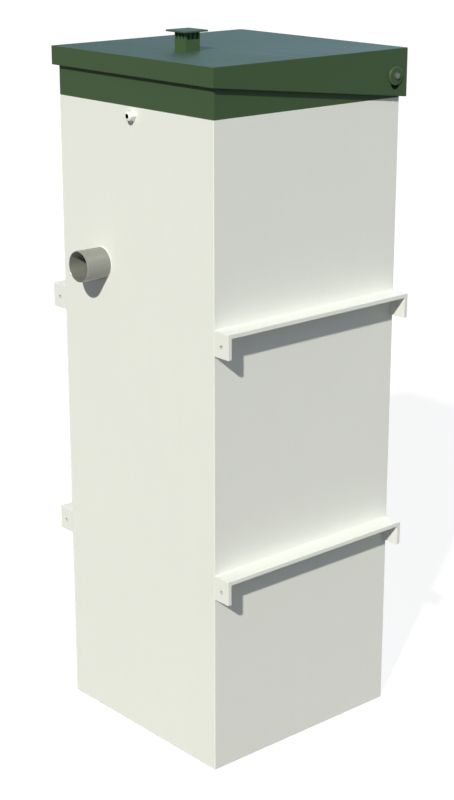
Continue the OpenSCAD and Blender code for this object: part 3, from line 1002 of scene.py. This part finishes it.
class TANK_OT_welds(Operator):
    """Run the weld beads: round the pipe's foot, along the ribs and tabs, inside the shell and the lid, and round the
    vent's foot"""

    bl_idname = "tank.welds"
    bl_label = "Weld beads"

    def execute(self, context):
        finish, small = context.scene.tank_finish, context.scene.tank_sizes.bead_radius
        white = bead_finish("white_bead", finish.shell_colour), "tank", "shell_white"
        green = bead_finish("green_bead", finish.collar_colour, GREEN_GLOSS), "lid", "lid_green"
        edge, vent = np.array([LID_X, LID_Y]) - SHEET, (low("vent_housing")[:2], high("vent_housing")[:2])
        runs = (
            ("pipe_bead", self.pipe_bead(0.5 * small), white),
            ("rib_beads", self.rib_beads(small), white),
            ("inside_beads", self.inside_beads(2 * small), white),
            ("lid_beads", self.loop_beads(-edge, edge, low("lid_top")[2], -1, -1, small), green),
            ("vent_beads", self.loop_beads(*vent, LID_TOP, 1, 1, 0.4 * small), green),
        )
        for name, grids, (material, body, slot) in runs:
            place(name, grids, material, body, smooth_below=60)
        return {"FINISHED"}

    def pipe_bead(self, radius):
        """Round the foot of the inlet pipe."""
        (x, z), pipe = hole_of("inlet_spigot")
        radial = np.insert(circle(96), 1, 0, axis=1)
        return [weld_bead((x, -SHELL_Y, z) + radial * pipe, radial, (0, -1, 0), radius, closed=True)]

    def rib_beads(self, radius):
        """Under and over each rib, and up the inner corner of each tab."""
        grids = []
        for name in RIBS:
            side = -1 if name.startswith("left") else 1
            start, end = low(name + "_rib"), high(name + "_rib")
            wall, thick, foot = side * SHELL_X, end[2] - start[2], low(name + "_front_tab")[2] + 0.002
            front, back, inset = start[1] + thick, end[1] - thick, 0.004
            over = (wall, start[1] + inset, end[2]), (wall, end[1] - inset, end[2])
            under = (wall, front, start[2]), (wall, back, start[2])
            grids += [weld_bead(over, (side, 0, 0), (0, 0, 1), 0.7 * radius)]
            grids += [weld_bead(under, (side, 0, 0), (0, 0, -1), radius)]
            for y, way in ((front, 1), (back, -1)):
                grids += [weld_bead([(wall, y, foot), (wall, y, start[2])], (side, 0, 0), (0, way, 0), radius)]
        return grids

    def inside_beads(self, radius):
        """Up the shell's four inner corners, and round its floor."""
        plan = CORNERS * (SHELL_X - SHEET, SHELL_Y - SHEET)
        grids = self.loop_beads(plan[0], plan[2], BASE_TOP, -1, 1, radius)
        for (x, y), (way_x, way_y) in zip(plan, CORNERS):
            upright = [(x, y, BASE_TOP), (x, y, RIM - 0.03)]
            grids += [weld_bead(upright, (-way_x, 0, 0), (0, -way_y, 0), radius)]
        return grids

    def loop_beads(self, start, end, z, outward, up, radius):
        """One mitred bead round a rectangle: outside it where outward is 1, and inside where it is -1."""
        (x0, y0), (x1, y1) = start, end
        plan = at_height(ring(np.array([[x0, y0], [x1, y0], [x1, y1], [x0, y1]])), z)
        return [weld_bead(plan, at_height(outward * ring(CORNERS), 0), (0, 0, up), radius, closed=True)]


class TANK_OT_studio(Operator):
    """Set up the floor, the room light, the key and back lights and the camera"""

    bl_idname = "tank.studio"
    bl_label = "Studio"

    def execute(self, context):
        studio = context.scene.tank_studio
        make_floor(studio)
        make_room(studio, context.scene)
        make_lamps(studio)
        make_camera(studio, context.scene)
        context.scene.view_settings.view_transform = "Standard"
        return {"FINISHED"}


def seen_rays(tree):
    """The ray's path, and 1 for rays from the camera or sent on through glass, 0 for the rest."""
    path = add_node(tree, "ShaderNodeLightPath").outputs
    return path, arithmetic(tree, "MAXIMUM", path["Is Camera Ray"], path["Is Transmission Ray"])


def shader(tree, kind, inputs):
    """A new shader node's output."""
    return add_node(tree, kind, inputs).outputs[0]


def make_floor(studio):
    """A flat square of floor that shows white, and keeps a soft shadow."""
    mesh = bpy.data.meshes.new("studio_floor")
    mesh.from_pydata(at_height(CORNERS * studio.floor_size / 2, 0).tolist(), [], [(0, 1, 2, 3)])
    floor = bpy.data.objects.new("studio_floor", mesh)
    bpy.context.scene.collection.objects.link(floor)
    material, tree = new_material("floor_paper")
    tree.nodes.clear()
    path, seen = seen_rays(tree)
    shows = arithmetic(tree, "MAXIMUM", seen, path["Is Glossy Ray"])
    paper = shader(tree, "ShaderNodeBsdfDiffuse", {"Color": (0.18, 0.18, 0.184, 1)})
    glow = shader(tree, "ShaderNodeEmission", {"Color": (1, 1, 1, 1), "Strength": 0.86})
    shown = shader(tree, "ShaderNodeAddShader", {0: paper, 1: glow})
    plain = shader(tree, "ShaderNodeBsdfDiffuse", {"Color": (0.10, 0.105, 0.11, 1)})
    mixed = shader(tree, "ShaderNodeMixShader", {0: shows, 1: plain, 2: shown})
    add_node(tree, "ShaderNodeOutputMaterial", {"Surface": mixed})
    mesh.materials.append(material)


def make_room(studio, scene):
    """Room light that shows white behind the tank, a little stronger from behind, and in gloss a blue-grey wall under
    a pale ceiling, darker to the left of the camera."""
    world = bpy.data.worlds.new("studio_room")
    scene.world = world
    world.use_nodes = True
    tree = world.node_tree
    tree.nodes.clear()
    path, seen = seen_rays(tree)
    way = add_node(tree, "ShaderNodeTexCoord").outputs["Generated"]
    behind = measure(tree, "DOT_PRODUCT", way, (0.304, 0.953, 0))
    level = spread(tree, behind, 0.6 * studio.fill_strength, 1.4 * studio.fill_strength, -1.0, 1.0)
    room = shader(tree, "ShaderNodeBackground", {"Color": (0.86, 0.91, 1.0, 1), "Strength": level})
    white = shader(tree, "ShaderNodeBackground", {"Color": (1, 1, 1, 1), "Strength": 1.0})
    rise = spread(tree, measure(tree, "DOT_PRODUCT", way, (0, 0, 1)), 0.0, 1.0, 0.15, 0.8)
    aside = spread(tree, measure(tree, "DOT_PRODUCT", way, (0.6585, 0.7526, 0)), 0.0, 1.0, -0.13, 0.08)
    wall = blend_colours(tree, aside, (0.0, 0.04, 0.2), (0.97, 1.42, 2.04))
    mirrored = blend_colours(tree, rise, wall, (0.55, 0.68, 0.95))
    gloss = shader(tree, "ShaderNodeBackground", {"Color": mirrored, "Strength": 1.0})
    unseen = shader(tree, "ShaderNodeMixShader", {0: path["Is Glossy Ray"], 1: room, 2: gloss})
    mixed = shader(tree, "ShaderNodeMixShader", {0: seen, 1: unseen, 2: white})
    add_node(tree, "ShaderNodeOutputWorld", {"Surface": mixed})


def make_lamps(studio):
    """A slightly warm key light, and a weak, low and very soft one that lifts the two sides turned away from it."""
    key = studio.sun_azimuth, studio.sun_elevation, studio.sun_strength, (1.0, 0.977, 0.892), studio.sun_softness
    back = math.radians(212), math.radians(4), studio.back_strength, (0.9, 0.95, 1.0), math.radians(24)
    for name, (azimuth, elevation, strength, colour, softness) in (("key_light", key), ("back_light", back)):
        level = math.cos(elevation)
        source = Vector((math.sin(azimuth) * level, -math.cos(azimuth) * level, math.sin(elevation)))
        light = bpy.data.lights.new(name, "SUN")
        light.energy = strength
        light.color = colour
        light.angle = softness
        lamp = bpy.data.objects.new(name, light)
        lamp.location = source * LAMP_DISTANCE
        lamp.rotation_euler = source.to_track_quat("Z", "Y").to_euler()
        lamp.visible_glossy = name == "key_light"
        bpy.context.scene.collection.objects.link(lamp)


def make_camera(studio, scene):
    """A camera that keeps its frame's height, turned and tilted as the panel says."""
    data = bpy.data.cameras.new("camera")
    data.sensor_fit = "VERTICAL"
    data.sensor_height = 36
    data.lens = studio.lens
    data.clip_end = 500
    camera = bpy.data.objects.new("camera", data)
    camera.location = studio.camera_place
    camera.rotation_euler = (math.pi / 2 - studio.camera_elevation, 0, studio.camera_azimuth)
    scene.collection.objects.link(camera)
    scene.camera = camera


class TANK_PT_sidebar(Panel):
    """Lists the finishes, the pieces and the studio"""

    bl_idname = "TANK_PT_sidebar"
    bl_label = "Septic tank"
    bl_space_type = "VIEW_3D"
    bl_region_type = "UI"
    bl_category = "Tank"

    def draw(self, context):
        scene = context.scene
        groups = (("Finish", scene.tank_finish), ("Sizes", scene.tank_sizes), ("Studio", scene.tank_studio))
        for heading, settings in groups:
            box = self.layout.box()
            box.label(text=heading)
            for key in settings.__annotations__:
                box.prop(settings, key)
        for piece in PIECES:
            self.layout.operator(piece.bl_idname)


PIECES = (
    TANK_OT_shell,
    TANK_OT_ribs,
    TANK_OT_collar,
    TANK_OT_lid,
    TANK_OT_vent,
    TANK_OT_inlet,
    TANK_OT_gland,
    TANK_OT_hinge,
    TANK_OT_welds,
    TANK_OT_studio,
)
CLASSES = (TankFinish, TankSizes, TankStudio, *PIECES, TANK_PT_sidebar)


def register():
    for cls in CLASSES:
        bpy.utils.register_class(cls)
    bpy.types.Scene.tank_finish = PointerProperty(type=TankFinish)
    bpy.types.Scene.tank_sizes = PointerProperty(type=TankSizes)
    bpy.types.Scene.tank_studio = PointerProperty(type=TankStudio)


def unregister():
    del bpy.types.Scene.tank_studio
    del bpy.types.Scene.tank_sizes
    del bpy.types.Scene.tank_finish
    for cls in reversed(CLASSES):
        bpy.utils.unregister_class(cls)


def main():
    """Makes every piece and the studio."""
    register()
    for piece in PIECES:
        getattr(bpy.ops.tank, piece.bl_idname.split(".")[1])()


if __name__ == "__main__":
    main()
